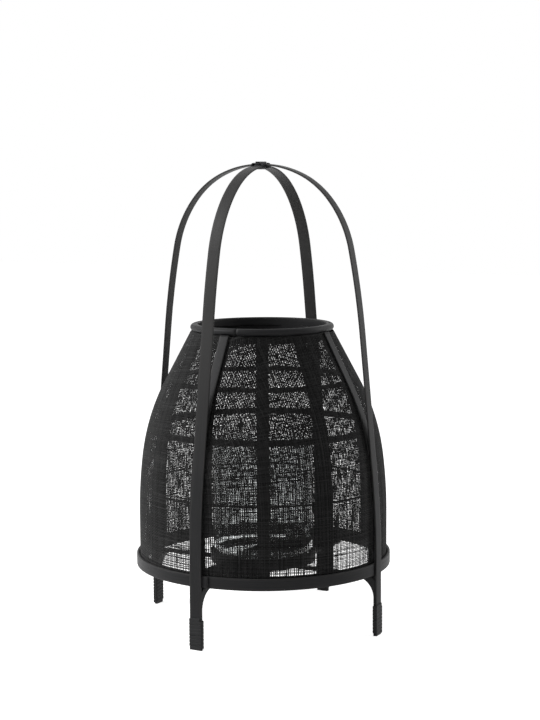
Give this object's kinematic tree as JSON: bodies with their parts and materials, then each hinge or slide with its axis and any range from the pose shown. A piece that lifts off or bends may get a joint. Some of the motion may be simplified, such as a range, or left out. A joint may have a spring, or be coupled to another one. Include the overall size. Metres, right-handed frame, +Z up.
{
  "type": "candle lantern",
  "caption": "Bell-shaped candle lantern of black cloth on a bent bamboo frame, with crossed hoops as handle and feet and a loose glass cylinder for the candle.",
  "frame": {"origin": "on the floor plane, on the axis of the bell, at the centre of the four feet", "axes": "+Z up along the bell's axis; +X through the right leg, -Y through the front leg"},
  "size_m": [0.2844, 0.2844, 0.5023],
  "materials": {
    "bamboo_black": "satin, black stained bamboo",
    "cane_black": "matte, black stained split cane",
    "cloth_black": "open plain weave of uneven black bast yarn",
    "glass_clear": "clear, glossy",
    "nail_dark": "dull wire nail"
  },
  "bodies": {
    "frame": {"hoop_side": "bamboo_black", "hoop_front": "bamboo_black", "crossing_lashing": "cane_black", "foot_lashing_front": "cane_black", "foot_lashing_right": "cane_black", "foot_lashing_back": "cane_black", "foot_lashing_left": "cane_black", "floor_strip_side": "bamboo_black", "floor_strip_front": "bamboo_black", "base_board": "bamboo_black", "board_nails": "nail_dark", "leg_pins": "bamboo_black", "base_ring_outer": "bamboo_black", "base_ring_inner": "bamboo_black", "rim_bead": "bamboo_black", "rim_band": "bamboo_black", "ring_low": "bamboo_black", "ring_middle": "bamboo_black", "ring_upper": "bamboo_black", "rib_01": "bamboo_black", "rib_02": "bamboo_black", "rib_03": "bamboo_black", "rib_04": "bamboo_black", "rib_05": "bamboo_black", "rib_06": "bamboo_black", "rib_07": "bamboo_black", "rib_08": "bamboo_black", "rib_09": "bamboo_black", "rib_10": "bamboo_black", "rib_11": "bamboo_black", "rib_12": "bamboo_black", "strap_front": "bamboo_black", "strap_right": "bamboo_black", "strap_back": "bamboo_black", "strap_left": "bamboo_black", "cloth_front_right": "cloth_black", "cloth_back_right": "cloth_black", "cloth_back_left": "cloth_black", "cloth_front_left": "cloth_black", "glass_seat_ring": "bamboo_black"},
    "glass": {"glass_cylinder": "glass_clear"}
  },
  "joints": [
    {"name": "glass_lift", "type": "slide", "parent": "frame", "child": "glass", "axis": [0, 0, 1], "range_m": [0, 0.27]}
  ]
}
